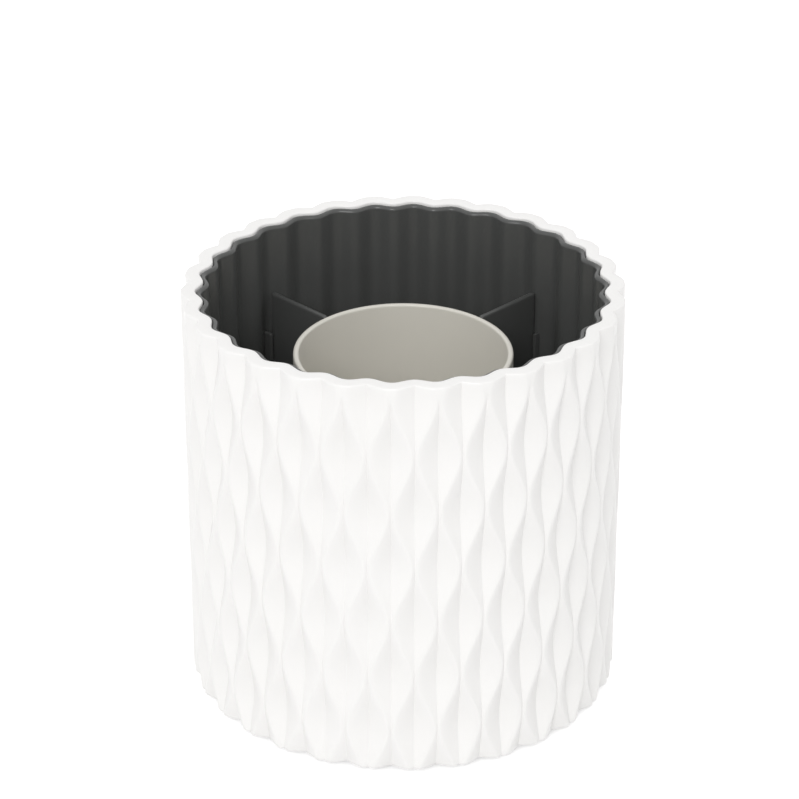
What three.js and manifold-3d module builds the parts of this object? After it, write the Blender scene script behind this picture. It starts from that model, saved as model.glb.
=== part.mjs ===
// Rotating makeup brush holder. A white drum with a pleated wall holds a dark liner, four
// partitions and a pale centre tube. The drum turns on a ring of steel balls over a footed base.
// Millimetres, +Z up. The axis of rotation is Z, and z = 0 is the surface it stands on.
import * as THREE from "three";
import { mergeVertices } from "three/addons/utils/BufferGeometryUtils.js";
import Module from "manifold-3d";

const wasm = await Module();
wasm.setup();

// Drum shell: overall size
const drumRadius = 67.5; // axis to the crests of the pleats
const shellHeight = 130.7; // foot to rim
const standOff = 2; // table to the foot of the shell

// Drum shell: pleated wall. Creases run straight up. The crests between them swing from side to
// side, so that each cell between two crests swells into a leaf and narrows to a waist in turn.
const leafColumns = 30; // leaves side by side in one row
const leafRows = 3.5; // rows of leaves from rim to foot
const leafDrop = 4.1; // rim to the first row of waists
const waistShare = 0.125; // width of a waist, as a share of the pitch of the leaves
const pleatDepth = 2.7; // crest to the deepest crease
const pleatTurn = THREE.MathUtils.degToRad(-87.2); // where the first column of leaves stands
const stepsPerLeaf = 6; // facets along one leaf

// Drum shell: inside
const rimWall = 3.8; // crease to the innermost line of the flutes
const fluteDepth = 2; // depth of the flutes down the inside of the wall
const skirtWall = 2.8; // crease to the skirt round the turntable
const edgeBreak = 0.6; // chamfer along rim and foot
const shellFloor = 2.5; // thickness of the floor
const floorBite = 0.6; // how far a joined piece runs into the one that carries it
const bossHeight = 4.2; // screw bosses under the floor
const bossRadius = 4.5;
const ribRadius = 18; // round rib under the middle of the floor
const ribWall = 2;

// Liner, partitions and centre tube
const linerGap = 0.3; // clearance between the liner and the flutes
const linerWall = 1.6;
const linerFloor = 1.8;
const linerDrop = 0.8; // rim of the shell to rim of the liner
const slotWidth = 25.3; // liner to the outside of the centre tube
const tubeWall = 1.8;
const tubeHeight = 91.8;
const tubeEdge = 0.5; // chamfers of the tube's rim
const spigotHeight = 2; // round step in the liner's floor that locates the tube
const fitGap = 0.3; // clearance round pieces that slide into place
const partitionCount = 4;
const partitionTurn = Math.PI / 4; // where the first partition stands
const partitionThickness = 1.8;
const partitionCorner = 1.2; // radius of its upper corners
const railWidth = 1.2; // pairs of rails hold the upright edges of each partition
const railReach = 1.6;
const railDrop = 14; // top of a partition to the top of its rails

// Turntable: base plate
const baseGap = 2; // skirt of the shell to the edge of the base plate
const baseClearance = 1.2; // table to the underside of the base plate
const baseRibHeight = 1.8;
const baseSkin = 1.8;
const baseRimWall = 2.5;
const baseRibCount = 8;
const baseRibWidth = 1.6;
const padCount = 4;
const padInset = 14; // edge of the base plate to the middle of a pad
const padRadius = 7;
const padThickness = 2;
const padPocket = 0.8; // how deep a pad sits in its boss
const padBossWall = 1.6;
const hubBossRadius = 14;
const hubBossHeight = 5.4; // boss round the pivot, from the base plate's underside
const counterboreRadius = 11.5; // recess in the boss for the washer, open below
const counterboreDepth = 2.2;

// Turntable: ball race
const ballCount = 12;
const ballRadius = 2.5;
const raceInset = 12; // middle of a pad to the middle of a ball, along a radius
const raceDepth = 1; // depth of the track in each plate
const raceGap = 0.05; // ball to the bottom of a track
const trackGap = 0.25; // ball to the sides of a track
const trackBacking = 1.2; // rib under the lower track
const trackShoulder = 1; // width of that rib beside the track
const cageWidth = 8;
const cageThickness = 1.8;
const pocketGap = 0.25;

// Turntable: rotor plate, bush and pivot
const rotorGap = 3; // skirt of the shell to the edge of the rotor plate
const rotorThickness = 2.4;
const hubRadius = 7;
const bushGap = 0.2; // clearance inside and outside the bush
const bushWall = 1.6;
const bushFlange = 0.6;
const bushFlangeRadius = 11;
const axialPlay = 0.2; // washer to the shoulder above it
const washerRadius = 10.6;
const washerThickness = 0.8;
const pivotScrew = { headRadius: 3.6, headHeight: 1.5, shankRadius: 1.5, length: 7 };
const plateScrewCount = 4;
const plateScrewInset = 11; // edge of the rotor plate to the middle of a screw
const plateScrew = { headRadius: 2.8, headHeight: 1.3, shankRadius: 1.4, length: 5.5 };
const headRecess = 1.4; // counterbore for the head of a plate screw
const screwGap = 0.3; // clearance round a screw
const screwRelief = 0.5; // depth of a hole beyond the tip of its screw

// Facets and tolerances
const roundSteps = 48; // large round pieces that show
const plainSteps = 32; // large round pieces inside
const smallSteps = 16; // pads, screws and their holes
const pocketSteps = 10;
const trackSides = 10; // sides of the section that cuts the ball tracks
const ballSteps = 8;
const overrun = 1; // how far a cutting tool runs past the face that it cuts
const weld = 1e-4; // vertices closer than this are one

// Levels, worked out from the sizes above
const shellFoot = standOff;
const shellRim = shellFoot + shellHeight;
const baseUnderside = baseClearance;
const baseSkinBottom = baseUnderside + baseRibHeight;
const baseTop = baseSkinBottom + baseSkin;
const shoulder = baseUnderside + counterboreDepth;
const hubBossTop = baseUnderside + hubBossHeight;
const washerTop = shoulder - axialPlay;
const washerBottom = washerTop - washerThickness;
const ballCentre = baseTop - raceDepth + raceGap + ballRadius;
const rotorBottom = ballCentre + ballRadius + raceGap - raceDepth;
const rotorTop = rotorBottom + rotorThickness;
const plateScrewSeat = rotorBottom + headRecess;
const floorBottom = rotorTop + bossHeight;
const floorTop = floorBottom + shellFloor;
const linerFloorTop = floorTop + linerFloor;
const linerRim = shellRim - linerDrop;
const tubeTop = linerFloorTop + tubeHeight;
const railTop = tubeTop - railDrop;

// Radii, worked out from the sizes above
const creaseRadius = drumRadius - pleatDepth;
const fluteRadius = creaseRadius - rimWall;
const skirtRadius = creaseRadius - skirtWall;
const shellFloorRadius = creaseRadius - floorBite;
const linerInside = fluteRadius - linerGap - linerWall;
const tubeRadius = linerInside - slotWidth;
const tubeInside = tubeRadius - tubeWall;
const baseRadius = skirtRadius - baseGap;
const padPitchRadius = baseRadius - padInset;
const racePitchRadius = padPitchRadius - raceInset;
const rotorRadius = skirtRadius - rotorGap;
const plateScrewPitchRadius = rotorRadius - plateScrewInset;
const trackHalf = ballRadius + trackGap;
const bushInside = hubRadius + bushGap;
const bushOutside = bushInside + bushWall;
const boreRadius = bushOutside + bushGap;

// Finishes
const finish = (color, roughness, metalness = 0) => ({ color, roughness, metalness });
const whitePlastic = finish(0xf4f3f0, 0.45);
const darkPlastic = finish(0x5a5c5b, 0.5);
const palePlastic = finish(0xd9d9d3, 0.4);
const greyPlastic = finish(0xc9cac8, 0.55);
const acetal = finish(0xe9e6dc, 0.35);
const rubber = finish(0x3a3a3b, 0.9);
const ballSteel = finish(0xc4c6c8, 0.25, 1);
const zincSteel = finish(0xb4b6b6, 0.4, 1);

// A closed geometry becomes a solid that can be joined and cut
function solidOf(geometry) {
  const bare = geometry.clone();
  bare.deleteAttribute("normal");
  bare.deleteAttribute("uv");
  const { attributes, index } = mergeVertices(bare, weld);
  const vertProperties = attributes.position.array;
  const triVerts = new Uint32Array(index.array);
  return new wasm.Manifold(new wasm.Mesh({ numProp: 3, vertProperties, triVerts }));
}

function geometryOf(solid) {
  const { vertProperties, triVerts } = solid.getMesh();
  const geometry = new THREE.BufferGeometry();
  geometry.setAttribute("position", new THREE.BufferAttribute(vertProperties, 3));
  geometry.setIndex(new THREE.BufferAttribute(triVerts, 1));
  geometry.computeVertexNormals();
  return geometry;
}

function meshOf(name, geometry, look) {
  const mesh = new THREE.Mesh(geometry, new THREE.MeshStandardMaterial(look));
  mesh.name = name;
  return mesh;
}

const joined = (first, ...others) => others.reduce((whole, next) => whole.add(next), first);
const cut = (first, ...tools) => tools.reduce((whole, tool) => whole.subtract(tool), first);

// A profile of [radius, height] pairs, counter-clockwise, turned about the Z axis
function turned(profile, steps) {
  const points = profile.map(([r, z]) => new THREE.Vector2(r, z));
  if (profile[0][0] !== 0) points.push(points[0].clone());
  return new THREE.LatheGeometry(points, steps).rotateX(Math.PI / 2);
}

const disc = (radius, low, high, steps = plainSteps) =>
  turned([[0, low], [radius, low], [radius, high], [0, high]], steps);

const ring = (inner, outer, low, high, steps = plainSteps) =>
  turned([[inner, low], [outer, low], [outer, high], [inner, high]], steps);

// A block that lies along a radius, from near to far, turned to its angle
const radialBlock = (near, far, width, low, high, angle, aside = 0) =>
  new THREE.BoxGeometry(far - near, width, high - low)
    .translate((near + far) / 2, aside, (low + high) / 2)
    .rotateZ(angle);

// Places round the axis
const places = (count, radius, turn = 0) =>
  Array.from({ length: count }, (_, i) => {
    const angle = turn + (2 * Math.PI * i) / count;
    return { angle, x: radius * Math.cos(angle), y: radius * Math.sin(angle) };
  });

const spread = (spots, geometry) =>
  spots.map(({ x, y }) => solidOf(geometry.clone().translate(x, y, 0)));

const padSpots = places(padCount, padPitchRadius);
const ballSpots = places(ballCount, racePitchRadius);
const plateScrewSpots = places(plateScrewCount, plateScrewPitchRadius, partitionTurn);
const partitionSpots = places(partitionCount, tubeRadius, partitionTurn);

// Columns of cells alternate: near the rim even ones are widest and odd ones have their first
// waist, and every half leaf further down they change over.
const leafPitch = shellHeight / leafRows;
const firstWaists = shellRim - leafDrop;
const columnCount = 2 * leafColumns;
const columnPitch = (2 * Math.PI) / columnCount;
const crestSwing = columnPitch * (1 / 2 - waistShare);
const widestHalf = columnPitch / 2 + crestSwing;

const polar = (radius, angle, z) => [radius * Math.cos(angle), radius * Math.sin(angle), z];

// One loop round the outside at height z: the crease of each column, then the crest beyond it
function pleatLoop(z, inset = 0) {
  const phase = (2 * Math.PI * (firstWaists - z)) / leafPitch;
  const loop = [];
  for (let column = 0; column < columnCount; column++) {
    const swing = crestSwing * Math.cos(phase) * (column % 2 ? -1 : 1);
    const halfWidth = columnPitch / 2 + swing;
    const middle = pleatTurn + column * columnPitch;
    const depth = (pleatDepth * halfWidth) / widestHalf;
    loop.push(polar(drumRadius - depth - inset, middle, z));
    loop.push(polar(drumRadius - inset, middle + halfWidth, z));
  }
  return loop;
}

// One loop of the flutes down the inside, which bulge outward behind the odd columns
const fluteLoop = (z, offset = 0) =>
  Array.from({ length: 2 * columnCount }, (_, i) => {
    const angle = (i * columnPitch) / 2;
    const bulge = (fluteDepth * (1 - Math.cos(leafColumns * angle))) / 2;
    return polar(fluteRadius + bulge + offset, pleatTurn + angle, z);
  });

const roundLoop = (radius, z) =>
  Array.from({ length: 2 * columnCount }, (_, i) =>
    polar(radius, pleatTurn + (i * columnPitch) / 2, z),
  );

// A closed skin through loops of points: each loop joins the next, and the last joins the first
function skinOf(loops) {
  const around = loops[0].length;
  const index = loops.flatMap((loop, i) =>
    loop.flatMap((_, j) => {
      const [here, next] = [i * around, ((i + 1) % loops.length) * around];
      const k = (j + 1) % around;
      return [here + j, here + k, next + k, here + j, next + k, next + j];
    }),
  );
  const geometry = new THREE.BufferGeometry();
  geometry.setAttribute("position", new THREE.Float32BufferAttribute(loops.flat(2), 3));
  return geometry.setIndex(index);
}

// A straight prism on a loop, from low to high
function prism(loop, low, high) {
  const outline = new THREE.Shape(loop.map(([x, y]) => new THREE.Vector2(x, y)));
  const depth = high - low;
  return new THREE.ExtrudeGeometry(outline, { depth, bevelEnabled: false }).translate(0, 0, low);
}

function shellWall() {
  const lowest = shellFoot + edgeBreak;
  const highest = shellRim - edgeBreak;
  const steps = Math.floor(((firstWaists - lowest) / leafPitch) * stepsPerLeaf);
  const heights = Array.from({ length: steps + 1 }, (_, i) =>
    firstWaists - ((steps - i) * leafPitch) / stepsPerLeaf,
  );
  return skinOf([
    pleatLoop(shellFoot, edgeBreak),
    ...[lowest, ...heights, highest].map((z) => pleatLoop(z)),
    pleatLoop(shellRim, edgeBreak),
    fluteLoop(shellRim, edgeBreak),
    fluteLoop(shellRim - edgeBreak),
    fluteLoop((floorTop + floorBottom) / 2),
    roundLoop(skirtRadius, floorBottom),
    roundLoop(skirtRadius, shellFoot),
  ]);
}

const plateScrewHole = disc(
  plateScrew.shankRadius + screwGap,
  rotorBottom,
  plateScrewSeat + plateScrew.length + screwRelief,
  pocketSteps,
);

function outerShell() {
  const floor = disc(shellFloorRadius, floorBottom, floorTop);
  const rib = ring(ribRadius - ribWall, ribRadius, rotorTop, floorBottom + floorBite);
  const boss = disc(bossRadius, rotorTop, floorBottom + floorBite, smallSteps);
  return cut(
    joined(solidOf(shellWall()), solidOf(floor), solidOf(rib), ...spread(plateScrewSpots, boss)),
    ...spread(plateScrewSpots, plateScrewHole),
  );
}

// Rails stand in pairs, a partition's thickness and its clearance apart
const rails = (near, far) =>
  partitionSpots.flatMap(({ angle }) => {
    const aside = partitionThickness / 2 + fitGap + railWidth / 2;
    return [-aside, aside].map((offset) =>
      solidOf(
        radialBlock(near, far, railWidth, linerFloorTop - floorBite, railTop, angle, offset),
      ),
    );
  });

function liner() {
  const body = solidOf(prism(fluteLoop(0, -linerGap), floorTop, linerRim));
  const inside = prism(fluteLoop(0, -linerGap - linerWall), linerFloorTop, linerRim + overrun);
  const spigot = disc(tubeInside - fitGap, linerFloorTop - floorBite, linerFloorTop + spigotHeight);
  const wallRails = rails(linerInside - railReach, skirtRadius).map((rail) =>
    rail.intersect(body),
  );
  return joined(cut(body, solidOf(inside)), solidOf(spigot), ...wallRails);
}

function centreTube() {
  const tube = turned(
    [
      [tubeInside, linerFloorTop],
      [tubeRadius, linerFloorTop],
      [tubeRadius, tubeTop - tubeEdge],
      [tubeRadius - tubeEdge, tubeTop],
      [tubeInside + tubeEdge, tubeTop],
      [tubeInside, tubeTop - tubeEdge],
    ],
    roundSteps,
  );
  const belowFloor = ring(
    tubeInside - overrun,
    tubeRadius + railReach + overrun,
    linerFloorTop - overrun,
    linerFloorTop,
  );
  return cut(
    joined(solidOf(tube), ...rails(tubeRadius - tubeWall / 2, tubeRadius + railReach)),
    solidOf(belowFloor),
  );
}

// A flat panel with round upper corners, on the liner's floor between tube and liner
function partition() {
  const near = tubeRadius + fitGap;
  const far = linerInside - fitGap;
  const corner = tubeTop - partitionCorner;
  const outline = new THREE.Shape()
    .moveTo(near, linerFloorTop)
    .lineTo(far, linerFloorTop)
    .lineTo(far, corner)
    .absarc(far - partitionCorner, corner, partitionCorner, 0, Math.PI / 2)
    .lineTo(near + partitionCorner, tubeTop)
    .absarc(near + partitionCorner, corner, partitionCorner, Math.PI / 2, Math.PI);
  return new THREE.ExtrudeGeometry(outline, {
    depth: partitionThickness,
    bevelEnabled: false,
    curveSegments: 2,
  })
    .rotateX(Math.PI / 2)
    .translate(0, partitionThickness / 2, 0);
}

// The tool that cuts both ball tracks: a ring whose section goes round a ball, flat below
function trackTool() {
  const half = Math.PI / trackSides;
  const section = Array.from({ length: trackSides }, (_, i) => {
    const angle = -Math.PI / 2 + (2 * i + 1) * half;
    return [
      racePitchRadius + (trackHalf * Math.cos(angle)) / Math.cos(half),
      ballCentre + ((ballRadius + raceGap) * Math.sin(angle)) / Math.cos(half),
    ];
  });
  return solidOf(turned(section, plainSteps));
}

function basePlate() {
  const inSkin = baseSkinBottom + floorBite;
  const skin = disc(baseRadius, baseSkinBottom, baseTop);
  const rim = ring(baseRadius - baseRimWall, baseRadius, baseUnderside, baseTop);
  const hubBoss = disc(hubBossRadius, baseUnderside, hubBossTop);
  const backing = ring(
    racePitchRadius - trackHalf - trackShoulder,
    racePitchRadius + trackHalf + trackShoulder,
    baseSkinBottom - trackBacking,
    inSkin,
  );
  const ribNear = hubBossRadius - floorBite;
  const ribFar = baseRadius - baseRimWall / 2;
  const ribs = places(baseRibCount, baseRadius, Math.PI / baseRibCount).map(({ angle }) =>
    solidOf(radialBlock(ribNear, ribFar, baseRibWidth, baseUnderside, inSkin, angle)),
  );
  const pocketRadius = padRadius + fitGap;
  const padBoss = disc(pocketRadius + padBossWall, baseUnderside, inSkin, smallSteps);
  const below = baseUnderside - overrun;
  const padRecess = disc(pocketRadius, below, baseUnderside + padPocket, smallSteps);
  return cut(
    joined(...[skin, rim, hubBoss, backing].map(solidOf), ...ribs, ...spread(padSpots, padBoss)),
    ...spread(padSpots, padRecess),
    trackTool(),
    solidOf(disc(counterboreRadius, below, shoulder)),
    solidOf(disc(boreRadius, below, hubBossTop + overrun)),
  );
}

const pivotBush = () =>
  turned(
    [
      [bushInside, shoulder],
      [bushOutside, shoulder],
      [bushOutside, hubBossTop],
      [bushFlangeRadius, hubBossTop],
      [bushFlangeRadius, hubBossTop + bushFlange],
      [bushInside, hubBossTop + bushFlange],
    ],
    plainSteps,
  );

function ballCage() {
  const low = ballCentre - cageThickness / 2;
  const high = ballCentre + cageThickness / 2;
  const band = ring(racePitchRadius - cageWidth / 2, racePitchRadius + cageWidth / 2, low, high);
  const pocket = disc(ballRadius + pocketGap, low - overrun, high + overrun, pocketSteps);
  return cut(solidOf(band), ...spread(ballSpots, pocket));
}

function rotorPlate() {
  const plate = disc(rotorRadius, rotorBottom, rotorTop);
  const hub = disc(hubRadius, washerTop, rotorBottom + floorBite);
  const pilotTop = washerBottom + pivotScrew.length + screwRelief;
  const pilot = disc(pivotScrew.shankRadius + screwGap, washerBottom, pilotTop, pocketSteps);
  const headRadius = plateScrew.headRadius + screwGap;
  const headSeat = disc(headRadius, rotorBottom - overrun, plateScrewSeat, smallSteps);
  return cut(
    joined(solidOf(plate), solidOf(hub)),
    trackTool(),
    solidOf(pilot),
    ...spread(plateScrewSpots, headSeat),
    ...spread(plateScrewSpots, plateScrewHole),
  );
}

// A screw that points up, with the underside of its head at z = 0
const screw = ({ headRadius, headHeight, shankRadius, length }) =>
  turned(
    [
      [0, -headHeight],
      [headRadius, -headHeight],
      [headRadius, 0],
      [shankRadius, 0],
      [shankRadius, length],
      [0, length],
    ],
    pocketSteps,
  );

// Copies of one piece, each a mesh of its own, numbered from 1
function copies(group, name, spots, z, geometry, look, turnEach = false) {
  spots.forEach(({ x, y, angle }, i) => {
    const mesh = meshOf(`${name}_${i + 1}`, geometry, look);
    if (turnEach) mesh.rotation.z = angle;
    else mesh.position.set(x, y, z);
    group.add(mesh);
  });
}

// The holder: a fixed base, the ball race, and the drum that turns
const base = new THREE.Group();
base.add(meshOf("base_plate", geometryOf(basePlate()), greyPlastic));
base.add(meshOf("pivot_bush", pivotBush(), acetal));
copies(base, "anti_slip_pad", padSpots, 0, disc(padRadius, 0, padThickness, smallSteps), rubber);

const race = new THREE.Group();
race.add(meshOf("ball_cage", geometryOf(ballCage()), acetal));
const ball = new THREE.SphereGeometry(ballRadius, ballSteps, ballSteps / 2);
copies(race, "ball", ballSpots, ballCentre, ball, ballSteel);

const drum = new THREE.Group();
drum.add(meshOf("outer_shell", geometryOf(outerShell()), whitePlastic));
drum.add(meshOf("liner", geometryOf(liner()), darkPlastic));
drum.add(meshOf("centre_tube", geometryOf(centreTube()), palePlastic));
copies(drum, "partition", partitionSpots, 0, partition(), darkPlastic, true);
drum.add(meshOf("rotor_plate", geometryOf(rotorPlate()), greyPlastic));
copies(drum, "plate_screw", plateScrewSpots, plateScrewSeat, screw(plateScrew), zincSteel);
const washerHole = pivotScrew.shankRadius + screwGap;
const washer = ring(washerHole, washerRadius, washerBottom, washerTop, smallSteps);
drum.add(meshOf("pivot_washer", washer, zincSteel));
drum.add(meshOf("pivot_screw", screw(pivotScrew).translate(0, 0, washerBottom), zincSteel));

const holder = new THREE.Group();
holder.add(base, race, drum);

export default holder;
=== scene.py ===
# %% [markdown]
# # Rotating makeup brush holder
# A white drum with a pleated wall turns on a low base. Inside it are a liner coloured dark grey as
# painted shade, four thin partitions in the same painted dark grey, and a pale tube. The imported
# model gives every size and place. Here each piece that shows gets its fine surface and its
# finish, and then the camera, floor and lights are set.

import math

import bpy
import numpy as np
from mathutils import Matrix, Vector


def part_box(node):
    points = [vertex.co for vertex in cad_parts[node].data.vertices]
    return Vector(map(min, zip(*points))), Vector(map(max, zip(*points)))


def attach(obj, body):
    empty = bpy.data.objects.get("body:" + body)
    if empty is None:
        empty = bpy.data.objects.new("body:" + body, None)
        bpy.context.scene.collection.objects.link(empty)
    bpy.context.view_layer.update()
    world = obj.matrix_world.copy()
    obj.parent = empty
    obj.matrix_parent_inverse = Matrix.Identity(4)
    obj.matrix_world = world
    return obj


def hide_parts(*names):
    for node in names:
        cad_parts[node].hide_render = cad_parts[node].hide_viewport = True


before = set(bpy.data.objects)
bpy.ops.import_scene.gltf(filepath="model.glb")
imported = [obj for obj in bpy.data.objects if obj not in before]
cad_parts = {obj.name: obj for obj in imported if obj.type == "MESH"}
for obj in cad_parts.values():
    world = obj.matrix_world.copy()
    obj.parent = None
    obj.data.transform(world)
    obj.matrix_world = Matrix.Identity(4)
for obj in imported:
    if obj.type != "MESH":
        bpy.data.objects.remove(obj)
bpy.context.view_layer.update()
MM = 0.001
TAU = 2 * math.pi

# %% [markdown]
# ## Sizes
# Whoever dresses a finished construction doesn't guess a size. What the nodes can tell is read
# from their boxes, so the looks stay on the construction when it changes. Only what a box can't
# tell, such as the number of pleats or the thickness of a wall, is written here.


# %% Sizes from the nodes
def outside(node):
    """Half the width of a round node, and its lowest and highest point."""
    low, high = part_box(node)
    return (high[0] - low[0]) / 2, low[2], high[2]


CREST_RADIUS, FOOT, RIM = outside("outer_shell")
_, FLOOR_TOP, LINER_RIM = outside("liner")
TUBE_RADIUS, LINER_FLOOR, TUBE_RIM = outside("centre_tube")
BASE_RADIUS, BASE_UNDER, HUB_TOP = outside("base_plate")
ROTOR_RADIUS, _, ROTOR_TOP = outside("rotor_plate")
print("drum radius", round(CREST_RADIUS / MM, 1), "mm, height", round((RIM - FOOT) / MM, 1), "mm")

# %% Sizes that a box can't tell
LEAF_COLUMNS = 30  # pairs of columns; the second of a pair is half a leaf lower
LEAF_ROWS = 3.5
PLEAT_TURN = math.radians(-87.2)  # where the first column stands
LEAF_DROP = 4.1 * MM  # from the rim down to the first leaves' widest place
WAIST_SHARE = 0.125  # half a waist's width, as a share of the columns' pitch
PLEAT_DEPTH = 2.7 * MM
DRUM_WALL = 3.8 * MM  # from the deepest crease to the innermost part of the flutes
FLUTE_RADIUS = CREST_RADIUS - PLEAT_DEPTH - DRUM_WALL
FLUTE_DEPTH = 2.0 * MM
SKIRT_WALL = 2.8 * MM
SKIRT_RADIUS = CREST_RADIUS - PLEAT_DEPTH - SKIRT_WALL
SHELL_FLOOR = 2.5 * MM
LINER_GAP = 0.3 * MM
LINER_WALL = 1.6 * MM
TUBE_WALL = 1.8 * MM
FIT_GAP = 0.3 * MM
EDGE_SOFT = 0.3 * MM  # rounding of small moulded edges
BITE = 1.0 * MM  # how far a rib or boss reaches into the plate that it grows from
print("flutes inside the wall:", LEAF_COLUMNS, "of depth", FLUTE_DEPTH / MM, "mm")

# %% [markdown]
# ## Surfaces as stacks of loops
# Most moulded goods can be read as loops of points stacked along a path: up the outside, over
# the rim, down the inside. A lathe tool does this for round things only. Working the loops out
# as arrays lets a pleated wall and a plain tube share one method, with faces that follow the
# form, and nothing has to be cut afterwards.


# %% Faces between loops
def skin(loops, ends="ring"):
    """Points and faces of the surface that joins each loop of points to the next.

    loops has the shape (loops, points round a loop, 3). With ends "ring" the last loop joins the
    first. With ends "fans" both end loops are closed by triangles to their middle points.
    """
    count, around = loops.shape[:2]
    points = loops.reshape(-1, 3)
    rows = count if ends == "ring" else count - 1
    here = np.arange(rows)[:, None] * around
    above = (here + around) % (count * around)
    this = np.arange(around)
    next_ = (this + 1) % around
    quads = np.stack([here + this, here + next_, above + next_, above + this], axis=-1)
    faces = [quads.reshape(-1, 4)]
    if ends == "fans":
        first, last, top = len(points), len(points) + 1, (count - 1) * around
        points = np.vstack([points, loops[0].mean(0), loops[-1].mean(0)])
        faces.append(np.stack([np.full(around, first), next_, this], axis=-1))
        faces.append(np.stack([np.full(around, last), top + this, top + next_], axis=-1))
    return points, faces


def revolve(profile, ends="ring", steps=192, at=(0.0, 0.0)):
    """A profile of (radius, height) pairs carried round a vertical axis that stands at a spot."""
    radius, height = np.array(profile).T[:, :, None]
    angle = np.arange(steps) * TAU / steps
    x, y = at[0] + radius * np.cos(angle), at[1] + radius * np.sin(angle)
    return skin(np.stack([x, y, np.broadcast_to(height, x.shape)], axis=-1), ends)


def section(inner, outer, low, high):
    """The four corners of a ring's section, from the lower inside corner outwards and up."""
    return [(inner, low), (outer, low), (outer, high), (inner, high)]


# %% Places round the axis
QUARTERS = [TAU * k / 4 for k in range(4)]
DIAGONALS = [TAU * (k + 0.5) / 4 for k in range(4)]


def on_circle(radius, angles):
    """A spot for each angle: the radius times its cosine, and the radius times its sine."""
    return [(radius * math.cos(angle), radius * math.sin(angle)) for angle in angles]


# %% Soft corners
MOST_OF_AN_EDGE = 0.45
SAME_SPOT = 1e-8


def softened(corners, setback, closed=True, steps=4):
    """A profile whose corners are drawn round.

    Each corner becomes a quadratic curve. It leaves one edge a setback before the corner, is
    pulled towards the corner, and joins the next edge a setback after it. On a short edge the
    setback is a share of its length, so that two curves never meet.
    """
    corners = np.array(corners, dtype=float)
    reach = np.full(len(corners), setback)
    if not closed:
        reach[[0, -1]] = 0.0
    ends = []
    for shift in (1, -1):
        away = np.roll(corners, shift, axis=0) - corners
        length = np.linalg.norm(away, axis=1)
        share = np.minimum(reach, MOST_OF_AN_EDGE * length) / length
        ends.append(corners + away * share[:, None])
    t = np.linspace(0, 1, steps + 1)[None, :, None]
    start, pull, end = ends[0][:, None], corners[:, None], ends[1][:, None]
    curve = ((1 - t) ** 2 * start + 2 * t * (1 - t) * pull + t**2 * end).reshape(-1, 2)
    moved = np.linalg.norm(np.diff(curve, axis=0), axis=1) > SAME_SPOT
    return curve[np.r_[True, moved]]


def quarter(radius, steps=4):
    """Height and inset along a rounded edge: a quarter of a circle, from wall to top."""
    phi = np.linspace(0, math.pi / 2, steps + 1)
    return radius * np.sin(phi), radius * (1 - np.cos(phi))


def eased(share):
    """A share from 0 to 1 with a soft start and end: its square, times 3 less twice itself."""
    return share * share * (3 - 2 * share)


# %% [markdown]
# ## One object for each piece
# A piece can hold several closed surfaces, such as a tube and its rails. They become one mesh,
# smooth where the surface bends gently and sharp where it folds. The object stays at the origin
# and rides on the body that carries it, in place of the plain solid.


# %% Make a piece
def piece(name, surfaces, body, replaces, fold=32):
    """One smooth mesh from several surfaces, sharp where they bend by more than fold degrees."""
    points = np.vstack([p for p, _ in surfaces])
    starts = np.cumsum([0] + [len(p) for p, _ in surfaces[:-1]])
    faces = [
        corners
        for start, (_, groups) in zip(starts, surfaces)
        for group in groups
        for corners in (group + start).tolist()
    ]
    mesh = bpy.data.meshes.new(name)
    mesh.from_pydata(points.tolist(), [], faces)
    mesh.shade_smooth()
    mesh.set_sharp_from_angle(angle=math.radians(fold))
    made = bpy.data.objects.new(name, mesh)
    bpy.context.collection.objects.link(made)
    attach(made, body)
    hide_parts(*replaces)
    print(name, "has", len(mesh.vertices), "points and", len(mesh.polygons), "faces")
    return made


# %% [markdown]
# ## The pleated wall
# On the real drum the wall is pressed into leaves. Straight creases run from rim to foot, and
# between them the crests swing to and fro, so each cell swells and narrows in turn. A bump map
# would leave rim, foot and outline smooth, and on this drum they are scalloped, so the pleats
# are made as shape. The grid follows the crests, which keeps them crisp with few faces.

# %% The crests and creases
COLUMNS = 2 * LEAF_COLUMNS
PITCH = TAU / COLUMNS
SWING = PITCH * (0.5 - WAIST_SHARE)
CREST_ROUND = 0.5 * MM
WAIST_OPENING = 1.8 * MM  # height in which a first waist opens
LOWER_POWER, UPPER_POWER = 1.0, 1.3
LOWER_CREASE, UPPER_CREASE = 0.08, 0.02  # rounding of a crease, as a share of half its cell
EDGE_ROUND = 0.6 * MM
HALF_CELL = np.array([0.0, 0.2, 0.45, 0.78, 0.87, 0.95, 1.0])  # closer together near the crest
ACROSS = np.concatenate([-HALF_CELL[::-1], HALF_CELL[1:-1]])
print("points round the wall:", COLUMNS * len(ACROSS))


def rounded(distance, blunt):
    """A distance whose start is drawn round, as a hyperbola is at its tip."""
    return np.sqrt(distance**2 + blunt**2) - blunt


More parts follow.
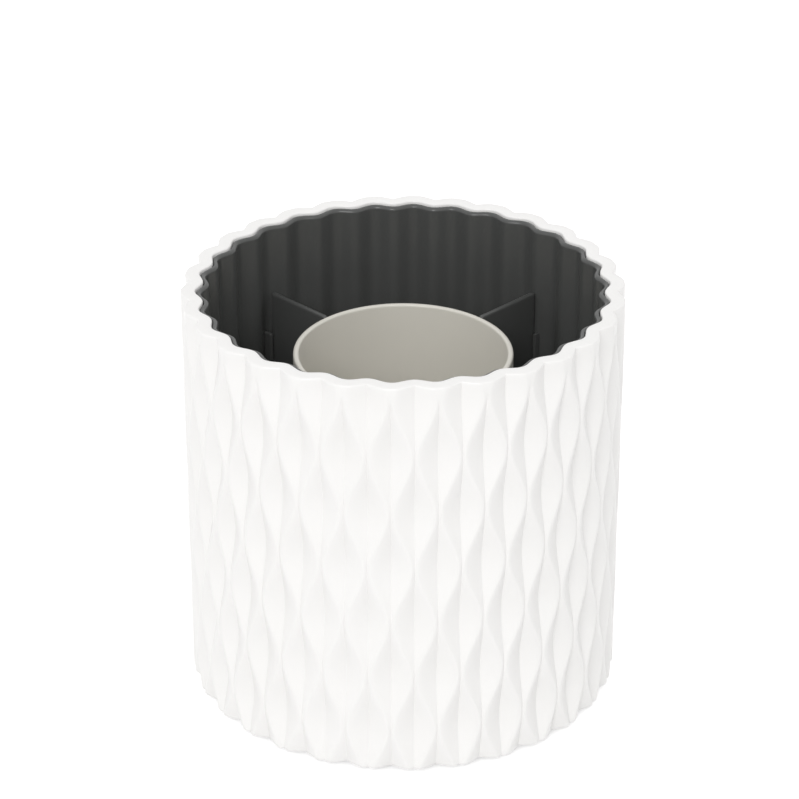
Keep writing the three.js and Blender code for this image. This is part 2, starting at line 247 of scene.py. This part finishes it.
def pleats(height, inset):
    """Loops round the outside at the given heights, drawn in by the given insets.

    A column's half-width is half the pitch plus a swing that follows a cosine down the wall, with
    the opposite sign in the next column. Within a cell the depth is the share that the rounded
    distance from the crest has in the sum of it and the rounded distance from the crease, raised
    to a power. The power is 1 low in a leaf, where the flanks are straight, and larger high in
    it, where they bulge. The crease is crisp, and a little softer low in a leaf. Every second
    column starts with a waist, and stays closed from the rim down to it.
    """
    phase = TAU * LEAF_ROWS * (RIM - LEAF_DROP - height) / (RIM - FOOT)
    sign = np.where(np.arange(COLUMNS) % 2, -1, 1)
    half = PITCH / 2 + SWING * np.cos(phase)[:, None] * sign
    middle = PLEAT_TURN + np.arange(COLUMNS) * PITCH
    angle = middle[:, None] + ACROSS * half[:, :, None]
    lower = (1 + np.sin(phase)[:, None] * sign) / 2
    crease = UPPER_CREASE + (LOWER_CREASE - UPPER_CREASE) * lower
    from_crease = rounded(np.abs(ACROSS), crease[:, :, None])
    from_crest = rounded(1 - np.abs(ACROSS), (CREST_ROUND / (CREST_RADIUS * half))[:, :, None])
    power = UPPER_POWER - (UPPER_POWER - LOWER_POWER) * lower
    fall = (from_crest / (from_crest + from_crease)) ** power[:, :, None]
    deepest = PLEAT_DEPTH * half / (PITCH / 2 + SWING)
    below = np.clip((RIM - LEAF_DROP - height) / WAIST_OPENING, 0, 1)[:, None]
    opened = np.where(sign < 0, eased(below), 1)
    depth = (deepest * opened)[:, :, None] * fall
    radius = CREST_RADIUS - inset[:, None, None] - depth
    return angle.reshape(len(height), -1), radius.reshape(len(height), -1)


def flute(angle):
    """Inside radius of the wall, which bulges outward behind every second column."""
    return FLUTE_RADIUS + FLUTE_DEPTH * (1 - np.cos(LEAF_COLUMNS * (angle - PLEAT_TURN))) / 2


def loops_at(angle, radius, height):
    """Points from angles and radii, with one height for each loop."""
    tall = np.broadcast_to(np.reshape(height, (-1, 1)), angle.shape)
    return np.stack([radius * np.cos(angle), radius * np.sin(angle), tall], axis=-1)


# %% The shell as one wall
def shell_wall(rings=110):
    """Up the pleats, over the rim, down the flutes to the floor, and down the round skirt."""
    rise, draw = quarter(EDGE_ROUND)
    wall = np.linspace(FOOT + EDGE_ROUND, RIM - EDGE_ROUND, rings)
    height = np.concatenate([FOOT + EDGE_ROUND - rise[:0:-1], wall, RIM - EDGE_ROUND + rise[1:]])
    inset = np.concatenate([draw[:0:-1], np.zeros(rings), draw[1:]])
    angle, radius = pleats(height, inset)
    outer = loops_at(angle, radius, height)

    top, foot = angle[-1], angle[0]
    inside_height = np.concatenate([RIM - EDGE_ROUND + rise[::-1], [FLOOR_TOP - SHELL_FLOOR / 2]])
    inside_inset = np.concatenate([draw[::-1], [0.0]])
    tops = np.broadcast_to(top, (len(inside_height), len(top)))
    inner = loops_at(tops, flute(tops) + inside_inset[:, None], inside_height)

    feet = np.broadcast_to(foot, (2, len(foot)))
    skirt = loops_at(feet, np.full(feet.shape, SKIRT_RADIUS), [FLOOR_TOP - SHELL_FLOOR, FOOT])
    return skin(np.concatenate([outer, inner, skirt]))


# %% The shell's floor
RIB_INSIDE, RIB_OUTSIDE = 16 * MM, 18 * MM
BOSS_HOLE, BOSS_RADIUS = 1.7 * MM, 4.5 * MM
BOSS_INSET = 11 * MM  # from the rotor plate's edge to a plate screw
FLOOR_INSET = 0.6 * MM  # from the deepest crease to the floor's edge, inside the wall


def shell_floor():
    """The floor, its round rib and the four bosses for the plate screws, all inside the skirt."""
    under = FLOOR_TOP - SHELL_FLOOR
    reach = CREST_RADIUS - PLEAT_DEPTH - FLOOR_INSET
    slab = [(reach, under), (reach, FLOOR_TOP)]
    rib = section(RIB_INSIDE, RIB_OUTSIDE, ROTOR_TOP, under + BITE)
    boss = section(BOSS_HOLE, BOSS_RADIUS, ROTOR_TOP, under + BITE)
    spots = on_circle(ROTOR_RADIUS - BOSS_INSET, DIAGONALS)
    bosses = [revolve(boss, steps=32, at=spot) for spot in spots]
    return [revolve(slab, "fans"), revolve(rib), *bosses]


shell_surfaces = [shell_wall(), *shell_floor()]
shell = piece("pleated_shell", shell_surfaces, "drum", ["outer_shell"])

# %% [markdown]
# ## The liner
# The lining is a thin fluted cup that drops into the drum. Its dark grey is painted shade for the
# inside of the drum. It could be a copy of the wall with a solidify modifier, but its floor, its
# round step for the tube and its rails are easier to get right as one run of loops: under the
# floor, up the outside, over the rim, down the inside and in to the middle.

# %% Rails and panels
PARTITION_WIDTH = 1.8 * MM
PANEL_SOFT = 0.85 * MM
RAIL_WIDTH = 1.2 * MM
RAIL_REACH = 1.6 * MM  # how far a rail stands out from its wall
RAIL_DROP = 14 * MM
RAIL_BITE = 0.6 * MM
RAIL_TOP = TUBE_RIM - RAIL_DROP
RAIL_ASIDE = PARTITION_WIDTH / 2 + FIT_GAP + RAIL_WIDTH / 2


def post(near, far, width, low, high, angle, aside=0.0, soft=EDGE_SOFT):
    """An upright block along a radius, with round edges: loops of a soft rectangle.

    Towards each end the loops draw in along a quarter of a circle.
    """
    half = np.array([(far - near) / 2, width / 2])
    corners = half * np.array([(-1, -1), (1, -1), (1, 1), (-1, 1)])
    outline = softened(corners, soft)
    rise, draw = quarter(soft)
    height = np.concatenate([low + soft - rise[::-1], high - soft + rise])
    shrink = (half - np.concatenate([draw[::-1], draw])[:, None]) / half
    local = outline[None] * shrink[:, None, :] + np.array([(near + far) / 2, aside])
    cos, sin = math.cos(angle), math.sin(angle)
    x = local[..., 0] * cos - local[..., 1] * sin
    y = local[..., 0] * sin + local[..., 1] * cos
    z = np.broadcast_to(height[:, None], x.shape)
    return skin(np.stack([x, y, z], axis=-1), "fans")


def rails(near, far):
    """A pair of rails for each partition, a partition's thickness and its clearance apart."""
    low = LINER_FLOOR - RAIL_BITE
    return [
        post(near, far, RAIL_WIDTH, low, RAIL_TOP, angle, side * RAIL_ASIDE)
        for angle in DIAGONALS
        for side in (-1, 1)
    ]


# %% The liner's cup
LINER_EDGE = 0.4 * MM
LINER_LIP = 1.1 * MM
FLOOR_FILLET = 1.2 * MM
STEP_HEIGHT = 2.0 * MM  # of the round step that the tube stands on
STEP_SOFT = 0.4 * MM
STEP_APRON = 3 * MM  # flat ring of floor round the step
STEP_MIDDLE = 10 * MM  # radius of the last loop on the step
UNDER_MIDDLE = 30 * MM  # radius of the first loop under the floor


def liner_cup(around=720):
    """The cup as loops from the middle of its underside to the middle of its floor."""
    angle = PLEAT_TURN + np.arange(around) * TAU / around
    outside_radius = flute(angle) - LINER_GAP
    inside_radius = outside_radius - LINER_WALL
    steps = [(np.full(around, UNDER_MIDDLE), FLOOR_TOP), (outside_radius, FLOOR_TOP)]
    rise, draw = quarter(LINER_EDGE)
    steps += [(outside_radius - d, LINER_RIM - LINER_EDGE + r) for r, d in zip(rise, draw)]
    fall, back = (values[::-1] for values in quarter(LINER_LIP, steps=8))
    steps += [(inside_radius + d, LINER_RIM - LINER_LIP + r) for r, d in zip(fall, back)]
    sink, reach = quarter(FLOOR_FILLET)
    steps += [(inside_radius - d, LINER_FLOOR + FLOOR_FILLET - r) for r, d in zip(sink, reach)]
    step = TUBE_RADIUS - TUBE_WALL - FIT_GAP
    step_corners = [
        (step + STEP_APRON, 0),
        (step, 0),
        (step, STEP_HEIGHT),
        (STEP_MIDDLE, STEP_HEIGHT),
    ]
    for radius, up in softened(step_corners, STEP_SOFT, closed=False):
        steps.append((np.full(around, radius), LINER_FLOOR + up))
    radius = np.stack([r for r, _ in steps])
    height = np.array([z for _, z in steps])
    return skin(loops_at(np.broadcast_to(angle, radius.shape), radius, height), "fans")


LINER_INSIDE = FLUTE_RADIUS - LINER_GAP - LINER_WALL
wall_rails = rails(LINER_INSIDE - RAIL_REACH, LINER_INSIDE + LINER_WALL)
liner = piece("fluted_liner", [liner_cup(), *wall_rails], "drum", ["liner"])

# %% [markdown]
# ## The tube and the partitions
# The tube is a plain turned form with a soft rim. The partitions are thin panels between tube
# and liner. What makes such plain pieces look real is the edge: moulded plastic is never sharp,
# and the round edge catches a thin line of light.

# %% The tube
TUBE_SOFT = 0.8 * MM
tube_section = section(TUBE_RADIUS - TUBE_WALL, TUBE_RADIUS, LINER_FLOOR, TUBE_RIM)
tube_rails = rails(TUBE_RADIUS - TUBE_WALL / 2, TUBE_RADIUS + RAIL_REACH)
tube_wall = revolve(softened(tube_section, TUBE_SOFT, steps=6), steps=256)
tube = piece("round_tube", [tube_wall, *tube_rails], "drum", ["centre_tube"])

# %% The partitions
near, far = TUBE_RADIUS + FIT_GAP, LINER_INSIDE - FIT_GAP
panels = []
for number, angle in enumerate(DIAGONALS, start=1):
    panel = post(near, far, PARTITION_WIDTH, LINER_FLOOR, TUBE_RIM, angle, soft=PANEL_SOFT)
    name = f"partition_{number}"
    panels.append(piece(f"panel_{number}", [panel], "drum", [name]))

# %% [markdown]
# ## Under the drum
# The base shows when the holder is picked up: a ribbed plate in the skirt of the drum, four
# rubber pads in their pockets, and the screw and washer that hold the drum on. The plate is a
# turned profile with posts for its ribs. Each post ends within the rounded edges of hub and
# rim, because two faces that lie in one plane render as dark specks. The balls, cage and bush
# are shut inside, so their nodes stay as they are and only get their finish.

# %% The base plate's profile
SKIN_BOTTOM, SKIN_TOP = BASE_UNDER + 1.8 * MM, BASE_UNDER + 3.6 * MM
SHOULDER = BASE_UNDER + 2.2 * MM
BORE_RADIUS = 9.0 * MM
RECESS_RADIUS = 11.5 * MM
HUB_RADIUS = 14 * MM
BASE_RIM = 2.5 * MM
CAGE_EDGE = 4 * MM  # from the cage's edge to the middle of the balls' track
RACE_RADIUS = outside("ball_cage")[0] - CAGE_EDGE
BACKING_HALF, BACKING_DEPTH = 3.75 * MM, 1.2 * MM
TRACK_HALF, TRACK_FLOOR_HALF, TRACK_DEPTH = 2.2 * MM, 0.9 * MM, 1.0 * MM


def base_profile():
    """Outline of the turned plate: out along its underside, up its rim and back over its top."""
    backing = SKIN_BOTTOM - BACKING_DEPTH
    return [
        (BORE_RADIUS, SHOULDER),
        (RECESS_RADIUS, SHOULDER),
        (RECESS_RADIUS, BASE_UNDER),
        (HUB_RADIUS, BASE_UNDER),
        (HUB_RADIUS, SKIN_BOTTOM),
        (RACE_RADIUS - BACKING_HALF, SKIN_BOTTOM),
        (RACE_RADIUS - BACKING_HALF, backing),
        (RACE_RADIUS + BACKING_HALF, backing),
        (RACE_RADIUS + BACKING_HALF, SKIN_BOTTOM),
        (BASE_RADIUS - BASE_RIM, SKIN_BOTTOM),
        (BASE_RADIUS - BASE_RIM, BASE_UNDER),
        (BASE_RADIUS, BASE_UNDER),
        (BASE_RADIUS, SKIN_TOP),
        (RACE_RADIUS + TRACK_HALF, SKIN_TOP),
        (RACE_RADIUS + TRACK_FLOOR_HALF, SKIN_TOP - TRACK_DEPTH),
        (RACE_RADIUS - TRACK_FLOOR_HALF, SKIN_TOP - TRACK_DEPTH),
        (RACE_RADIUS - TRACK_HALF, SKIN_TOP),
        (HUB_RADIUS, SKIN_TOP),
        (HUB_RADIUS, HUB_TOP),
        (BORE_RADIUS, HUB_TOP),
    ]


# %% Pad pockets and ribs
PAD_LOW, PAD_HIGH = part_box("anti_slip_pad_1")
PAD_RADIUS = (PAD_HIGH[0] - PAD_LOW[0]) / 2
PAD_SPOTS = on_circle((PAD_HIGH[0] + PAD_LOW[0]) / 2, QUARTERS)
POCKET_DEPTH, POCKET_WALL, POCKET_SOFT = 0.8 * MM, 1.6 * MM, 0.25 * MM
POCKET_MIDDLE = 4 * MM  # radius of the first and last loop of a pocket
RIB_WIDTH = 1.6 * MM
RIB_COUNT = 8
inner, outer = PAD_RADIUS + FIT_GAP, PAD_RADIUS + FIT_GAP + POCKET_WALL
pocket = BASE_UNDER + POCKET_DEPTH
pocket_corners = [
    (POCKET_MIDDLE, pocket),
    (inner, pocket),
    (inner, BASE_UNDER),
    (outer, BASE_UNDER),
    (outer, SKIN_BOTTOM + BITE),
    (POCKET_MIDDLE, SKIN_BOTTOM + BITE),
]
pocket_profile = softened(pocket_corners, POCKET_SOFT, closed=False)
rib_start, rib_end = HUB_RADIUS - EDGE_SOFT, BASE_RADIUS - BASE_RIM + EDGE_SOFT
rib_angles = [TAU * (k + 0.5) / RIB_COUNT for k in range(RIB_COUNT)]
ribs = [
    post(rib_start, rib_end, RIB_WIDTH, BASE_UNDER, SKIN_BOTTOM + BITE, angle)
    for angle in rib_angles
]
plate = revolve(softened(base_profile(), EDGE_SOFT, steps=3))
pockets = [revolve(pocket_profile, "fans", steps=64, at=spot) for spot in PAD_SPOTS]
base = piece("ribbed_base", [plate, *ribs, *pockets], "base", ["base_plate"])

# %% The pads
PAD_SOFT = 0.35 * MM
PAD_MIDDLE = 3 * MM  # radius of the first and last loop of a pad
pad_profile = softened(section(PAD_MIDDLE, PAD_RADIUS, 0, PAD_HIGH[2]), PAD_SOFT, closed=False)
pads = []
for number, spot in enumerate(PAD_SPOTS, start=1):
    pad = revolve(pad_profile, "fans", steps=64, at=spot)
    pads.append(piece(f"pad_{number}", [pad], "base", [f"anti_slip_pad_{number}"]))


# %% The washer
WASHER_LOW, WASHER_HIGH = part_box("pivot_washer")
WASHER_RADIUS = (WASHER_HIGH[0] - WASHER_LOW[0]) / 2
WASHER_HOLE, WASHER_SOFT = 1.8 * MM, 0.15 * MM
washer_section = section(WASHER_HOLE, WASHER_RADIUS, WASHER_LOW[2], WASHER_HIGH[2])
washer_ring = revolve(softened(washer_section, WASHER_SOFT))
washer = piece("washer", [washer_ring], "drum", ["pivot_washer"])

# %% [markdown]
# ## The pivot screw
# The screw in the middle of the underside is a cross-head machine screw. Its cross could be cut
# with a boolean, which leaves ragged faces on so small a head. Here the face has many loops, and
# the cross is a dent whose walls slope a little, as the punch that made it leaves them.

# %% The pivot screw
SCREW_LOW, SCREW_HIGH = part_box("pivot_screw")
HEAD_RADIUS, SHANK_RADIUS = 3.6 * MM, 1.5 * MM
FACE_LOOPS = 34
FACE_START, FACE_END, BROW = 0.05, 0.9, 0.97  # shares of the head's radius
BROW_RISE, SIDE_RISE = 0.15 * MM, 0.5 * MM
TIP_SHARE, TIP_LENGTH = 0.6, 0.6 * MM
CROSS_HALF, CROSS_REACH = 0.45 * MM, 1.9 * MM
CROSS_SLOPE, CROSS_DEPTH = 0.25 * MM, 0.8 * MM


def cross_recess(x, y):
    """Depth of a driver's cross at a place on the head: full inside the arms, none outside.

    Across an arm and along it, the depth goes from full to none over the slope's width.
    """
    thin, long = np.minimum(abs(x), abs(y)), np.maximum(abs(x), abs(y))
    across = np.clip((CROSS_HALF - thin) / CROSS_SLOPE + 0.5, 0, 1)
    along = np.clip((CROSS_REACH - long) / CROSS_SLOPE + 0.5, 0, 1)
    return CROSS_DEPTH * eased(across * along)


def screw_surface(around=128):
    """Loops from the middle of the head out to its edge, back to the shank and up to the tip."""
    crown, seat, tip = SCREW_LOW[2], WASHER_LOW[2], SCREW_HIGH[2]
    face = [(share * HEAD_RADIUS, crown) for share in np.linspace(FACE_START, FACE_END, FACE_LOOPS)]
    edge = [
        (BROW * HEAD_RADIUS, crown + BROW_RISE),
        (HEAD_RADIUS, crown + SIDE_RISE),
        (HEAD_RADIUS, seat),
        (SHANK_RADIUS, seat),
        (SHANK_RADIUS, tip - TIP_LENGTH),
        (TIP_SHARE * SHANK_RADIUS, tip),
    ]
    radius, height = np.array(face + edge).T
    angle = np.broadcast_to(np.arange(around) * TAU / around, (len(radius), around))
    loops = loops_at(angle, radius[:, None], height)
    face_loops = loops[:FACE_LOOPS]
    face_loops[..., 2] += cross_recess(face_loops[..., 0], face_loops[..., 1])
    return skin(loops, "fans")


screw = piece("cross_head_screw", [screw_surface()], "drum", ["pivot_screw"])

# %% [markdown]
# ## Finishes
# Every finish starts from what the real material is and how its surface was made. Colours are
# written as sRGB hex values, the way a paint chip is read on screen, and one function turns them
# to the linear values that the shader wants. Each pattern's scale comes from a size in
# millimetres.


# %% Helpers for materials
def linear(colour):
    """An sRGB hex value as linear red, green, blue and alpha, by the sRGB standard's formula."""
    srgb = np.array([(colour >> shift) & 255 for shift in (16, 8, 0)]) / 255
    low = srgb / 12.92
    high = ((srgb + 0.055) / 1.055) ** 2.4
    return (*np.where(srgb <= 0.04045, low, high).tolist(), 1.0)


def per_mm(size):
    """Scale of a texture whose features are about this many millimetres across."""
    return 1 / (size * MM)


def add(tree, kind, settings=None, inputs=None):
    """Adds a node. settings are its properties. inputs are values, or sockets to link from."""
    made = tree.nodes.new(kind)
    for key, value in (settings or {}).items():
        setattr(made, key, value)
    for key, value in (inputs or {}).items():
        if isinstance(value, bpy.types.NodeSocket):
            tree.links.new(value, made.inputs[key])
        else:
            made.inputs[key].default_value = value
    return made


def new_material(name):
    """An empty node material, with its tree and the Object coordinates that patterns follow."""
    material = bpy.data.materials.new(name)
    material.use_nodes = True
    tree = material.node_tree
    tree.nodes.clear()
    spot = add(tree, "ShaderNodeTexCoord").outputs["Object"]
    return material, tree, spot


def finish_material(tree, shader):
    """Joins the shader to the output."""
    add(tree, "ShaderNodeOutputMaterial", inputs={"Surface": shader.outputs[0]})


def dress(material, *objects):
    """Gives objects one material. A node has its slot already, and a new piece gets one."""
    for obj in objects:
        if not obj.material_slots:
            obj.data.materials.append(material)
        for slot in obj.material_slots:
            slot.material = material
    print(material.name, "on", len(objects), "objects")


# %% Moulded plastic
FLOW_DETAIL, GRAIN_DETAIL = 3.0, 2.0
GRAIN_STRENGTH = 0.6
GLOSS_PATCH = 9.0  # millimetres


def moulded(name, colours, flow, grain, relief, roughness, ior):
    """Injection-moulded plastic: faint flow marks in its colour, and a fine spark-eroded grain.

    flow and grain are sizes in millimetres, relief is the height of the grain in metres, and the
    roughness drifts between two values from one gloss patch to the next.
    """
    material, tree, spot = new_material(name)
    marks = add(
        tree,
        "ShaderNodeTexNoise",
        inputs={"Vector": spot, "Scale": per_mm(flow), "Detail": FLOW_DETAIL},
    )
    colour = add(
        tree,
        "ShaderNodeMix",
        {"data_type": "RGBA"},
        {"Factor": marks.outputs["Fac"], "A": linear(colours[0]), "B": linear(colours[1])},
    )
    patch = add(
        tree,
        "ShaderNodeTexNoise",
        inputs={"Vector": spot, "Scale": per_mm(GLOSS_PATCH), "Detail": GRAIN_DETAIL},
    )
    rough = add(
        tree,
        "ShaderNodeMapRange",
        inputs={"Value": patch.outputs["Fac"], "To Min": roughness[0], "To Max": roughness[1]},
    )
    fine = add(
        tree,
        "ShaderNodeTexNoise",
        inputs={"Vector": spot, "Scale": per_mm(grain), "Detail": GRAIN_DETAIL},
    )
    bump = add(
        tree,
        "ShaderNodeBump",
        inputs={"Height": fine.outputs["Fac"], "Strength": GRAIN_STRENGTH, "Distance": relief},
    )
    shader = add(
        tree,
        "ShaderNodeBsdfPrincipled",
        inputs={
            "Base Color": colour.outputs["Result"],
            "Roughness": rough.outputs["Result"],
            "Normal": bump.outputs["Normal"],
            "IOR": ior,
        },
    )
    finish_material(tree, shader)
    return material


# %% [markdown]
# ### White ABS
# The drum is moulded ABS with a satin skin. ABS takes a fine eroded grain that spreads the light,
# so the pleats read by soft shade, and only crests and rim carry a thin line of gloss. The grain
# is drawn at 0.5 mm, coarser than the real 0.05 mm, so that it shows at all.

# %% White ABS on the drum
white_abs = moulded(
    "satin_white_abs",
    (0xEFEEED, 0xECEBE9),
    flow=30.0,
    grain=0.5,
    relief=0.012 * MM,
    roughness=(0.26, 0.34),
    ior=1.53,
)
dress(white_abs, shell)

# %% [markdown]
# ### Dark grey as painted shade
# The liner and its partitions are moulded polypropylene, coloured a dark grey that paints the
# shade inside the drum. Its grey is neutral and its skin is as smooth as the drum's, so the flutes
# keep a soft sheen and the round edges a lighter line, while the depth stays quiet. Its grain too
# is drawn coarser than the real one.

# %% Painted shade: dark grey on the liner and its partitions
painted_shade_pp = moulded(
    "painted_shade_grey_polypropylene",
    # These two dark greys stand in for the shade inside the drum: painted shade, not the plastic's
    # own colour.
    (0x4E4F4E, 0x484948),
    flow=25.0,
    grain=0.6,
    relief=0.01 * MM,
    roughness=(0.26, 0.34),
    ior=1.49,
)
dress(painted_shade_pp, liner, *panels)

# %% [markdown]
# ### Pale polystyrene
# The tube is a warm, pale grey polystyrene. Its grain is a little flatter than the drum's and
# its gloss is softer. Its rim is the brightest line inside.

# %% Pale polystyrene on the tube
pale_ps = moulded(
    "pale_polystyrene",
    (0xDAD7CE, 0xD4D1C8),
    flow=30.0,
    grain=0.5,
    relief=0.01 * MM,
    roughness=(0.36, 0.46),
    ior=1.59,
)
dress(pale_ps, tube)

# %% [markdown]
# ### Plastics under the drum
# The plates of the turntable are plain grey ABS straight from the tool, duller than the drum and
# with a coarser grain. The bush and the cage are acetal, a waxy white plastic that slides well.

# %% Grey ABS and acetal
grey_abs = moulded(
    "grey_moulded_abs",
    (0xCFD0CE, 0xC5C6C4),
    flow=20.0,
    grain=0.7,
    relief=0.02 * MM,
    roughness=(0.48, 0.6),
    ior=1.53,
)
acetal = moulded(
    "waxy_acetal",
    (0xECE9E0, 0xE4E1D6),
    flow=15.0,
    grain=0.5,
    relief=0.008 * MM,
    roughness=(0.28, 0.36),
    ior=1.48,
)
dress(grey_abs, base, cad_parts["rotor_plate"])
dress(acetal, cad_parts["pivot_bush"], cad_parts["ball_cage"])


# %% [markdown]
# ### Rubber
# The pads are cut from sheet rubber. It is nearly black, it scatters light evenly, and fine
# pores keep any gloss away.

# %% Rubber pads
def sheet_rubber(pore=0.4, patch=4.0, relief=0.04 * MM, strength=0.5, roughness=0.85, ior=1.52):
    """Dark rubber: pores break up its surface, and its colour barely drifts from patch to patch.

    pore and patch are sizes in millimetres, and relief is the depth of a pore in metres.
    """
    material, tree, spot = new_material("sheet_rubber")
    pores = add(tree, "ShaderNodeTexVoronoi", inputs={"Vector": spot, "Scale": per_mm(pore)})
    drift = add(tree, "ShaderNodeTexNoise", inputs={"Vector": spot, "Scale": per_mm(patch)})
    colour = add(
        tree,
        "ShaderNodeMix",
        {"data_type": "RGBA"},
        {"Factor": drift.outputs["Fac"], "A": linear(0x3A3A3B), "B": linear(0x2E2E30)},
    )
    bump = add(
        tree,
        "ShaderNodeBump",
        inputs={"Height": pores.outputs["Distance"], "Strength": strength, "Distance": relief},
    )
    shader = add(
        tree,
        "ShaderNodeBsdfPrincipled",
        inputs={
            "Base Color": colour.outputs["Result"],
            "Roughness": roughness,
            "Normal": bump.outputs["Normal"],
            "IOR": ior,
        },
    )
    finish_material(tree, shader)
    return material


dress(sheet_rubber(), *pads)


# %% [markdown]
# ### Steel
# The balls are polished bearing steel. The screws and the washer are zinc-plated, which is a
# little bluer and cloudier, with faint spangles where the plating took unevenly.

# %% Steels
PLATE_SCREWS, BALLS = 4, 12


def steel(name, colours, roughness, spangle, detail=4.0):
    """Metal whose colour and roughness drift together from spangle to spangle.

    spangle is a size in millimetres.
    """
    material, tree, spot = new_material(name)
    cells = add(
        tree,
        "ShaderNodeTexNoise",
        inputs={"Vector": spot, "Scale": per_mm(spangle), "Detail": detail},
    )
    colour = add(
        tree,
        "ShaderNodeMix",
        {"data_type": "RGBA"},
        {"Factor": cells.outputs["Fac"], "A": linear(colours[0]), "B": linear(colours[1])},
    )
    rough = add(
        tree,
        "ShaderNodeMapRange",
        inputs={"Value": cells.outputs["Fac"], "To Min": roughness[0], "To Max": roughness[1]},
    )
    shader = add(
        tree,
        "ShaderNodeBsdfPrincipled",
        inputs={
            "Base Color": colour.outputs["Result"],
            "Roughness": rough.outputs["Result"],
            "Metallic": 1.0,
        },
    )
    finish_material(tree, shader)
    return material


zinc = steel("zinc_plated_steel", (0xC6CACC, 0xAEB3B6), roughness=(0.28, 0.42), spangle=1.2)
ball_steel = steel(
    "polished_bearing_steel", (0xD0D2D4, 0xC4C7CA), roughness=(0.1, 0.16), spangle=2.0
)
plate_screws = [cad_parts[f"plate_screw_{k + 1}"] for k in range(PLATE_SCREWS)]
balls = [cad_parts[f"ball_{k + 1}"] for k in range(BALLS)]
dress(zinc, washer, screw, *plate_screws)
dress(ball_steel, *balls)

# %% [markdown]
# ## Camera
# A product shot from slightly above uses a long lens, which keeps the sides of the drum nearly
# parallel. The camera looks along +Y and down onto the middle of the drum.

# %% Camera
CAMERA_TILT = math.radians(27.9)
CAMERA_DISTANCE = 935.9 * MM
CAMERA_AIM = np.array([-1.15, 0.0, 93.75]) * MM
CAMERA_LENS, CAMERA_SENSOR = 136.4, 36.0  # both in millimetres
lens = bpy.data.cameras.new("camera")
lens.sensor_width = CAMERA_SENSOR
lens.lens = CAMERA_LENS
camera = bpy.data.objects.new("camera", lens)
bpy.context.collection.objects.link(camera)
away = np.array([0.0, -math.cos(CAMERA_TILT), math.sin(CAMERA_TILT)])
camera.location = CAMERA_AIM + away * CAMERA_DISTANCE
camera.rotation_euler = (math.pi / 2 - CAMERA_TILT, 0.0, 0.0)
bpy.context.scene.camera = camera
print("camera at", np.round(camera.location, 3))

# %% [markdown]
# ## Floor and light
# The holder stands on a plain white floor in soft light. Floor and room are lifted to white only
# where the camera, a gloss or a glass sees them, so no more light falls on the drum, and the
# soft shadow at the foot stays. The light comes from the room, a little stronger from its
# ceiling than from its walls, and from one large lamp at the front left. The lamp stands far
# off, so that the drum is as bright at its foot as at its rim.

# %% Floor
FLOOR_COLOUR = 0xEAEAEA
FLOOR_LIFT = 0.5


def seen_plainly(tree):
    """1 for a ray that sees the background: from the camera, off a gloss or through glass."""
    path = add(tree, "ShaderNodeLightPath")
    camera_or_gloss = add(
        tree,
        "ShaderNodeMath",
        {"operation": "ADD"},
        {0: path.outputs["Is Camera Ray"], 1: path.outputs["Is Glossy Ray"]},
    )
    glass_too = add(
        tree,
        "ShaderNodeMath",
        {"operation": "ADD", "use_clamp": True},
        {0: camera_or_gloss.outputs[0], 1: path.outputs["Is Transmission Ray"]},
    )
    return glass_too.outputs[0]


def white_floor(size=6.0):
    """A large plane at the level that the holder stands on, with a matt colour and its lift."""
    half = size / 2
    corners = [(-half, -half, 0), (half, -half, 0), (half, half, 0), (-half, half, 0)]
    mesh = bpy.data.meshes.new("floor")
    mesh.from_pydata(corners, [], [(0, 1, 2, 3)])
    plane = bpy.data.objects.new("floor", mesh)
    bpy.context.collection.objects.link(plane)
    material, tree, _ = new_material("white_floor")
    lift = add(
        tree, "ShaderNodeMath", {"operation": "MULTIPLY"}, {0: seen_plainly(tree), 1: FLOOR_LIFT}
    )
    glow = add(tree, "ShaderNodeEmission", inputs={"Strength": lift.outputs[0]})
    matt = add(tree, "ShaderNodeBsdfDiffuse", inputs={"Color": linear(FLOOR_COLOUR)})
    both = add(tree, "ShaderNodeAddShader", inputs={0: matt.outputs[0], 1: glow.outputs[0]})
    finish_material(tree, both)
    mesh.materials.append(material)
    print("floor of", size, "m")


white_floor()

# %% World and lamp
WALL_LIGHT, CEILING_LIGHT = 0.765, 0.9
KEY_PLACE = (-1.32, -5.7, 4.55)
KEY_AIM = (0.0, 0.0, 0.07)
KEY_SIZE = 2.8
KEY_WATTS = 177.0


def pale_world(walls, ceiling):
    """Light that grows evenly from the walls of the room to its ceiling.

    Where the camera or a reflection sees past the floor, it is plain white.
    """
    world = bpy.data.worlds.new("studio")
    world.use_nodes = True
    tree = world.node_tree
    tree.nodes.clear()
    direction = add(tree, "ShaderNodeTexCoord").outputs["Generated"]
    height = add(tree, "ShaderNodeSeparateXYZ", inputs={"Vector": direction}).outputs["Z"]
    fill = add(
        tree, "ShaderNodeMapRange", inputs={"Value": height, "To Min": walls, "To Max": ceiling}
    )
    strength = add(
        tree,
        "ShaderNodeMapRange",
        inputs={"Value": seen_plainly(tree), "To Min": fill.outputs["Result"], "To Max": 1.0},
    )
    sky = add(tree, "ShaderNodeBackground", inputs={"Strength": strength.outputs["Result"]})
    sky.inputs["Color"].default_value = (1.0, 1.0, 1.0, 1.0)
    add(tree, "ShaderNodeOutputWorld", inputs={"Surface": sky.outputs[0]})
    bpy.context.scene.world = world
    print("room light from", walls, "to", ceiling)


def softbox(name, place, aim, size, watts):
    """A square area lamp at a place, turned to face its aim."""
    lamp = bpy.data.lights.new(name, "AREA")
    lamp.size = size
    lamp.energy = watts
    box = bpy.data.objects.new(name, lamp)
    bpy.context.collection.objects.link(box)
    direction = np.array(aim) - np.array(place)
    flat = math.hypot(direction[0], direction[1])
    tip = math.atan2(flat, -direction[2])
    turn = math.atan2(direction[1], direction[0]) - math.pi / 2
    box.location = place
    box.rotation_euler = (tip, 0.0, turn)
    print(name, "lamp of", watts, "W at", place)


pale_world(WALL_LIGHT, CEILING_LIGHT)
softbox("key", KEY_PLACE, KEY_AIM, KEY_SIZE, KEY_WATTS)
bpy.context.scene.view_settings.view_transform = "Standard"
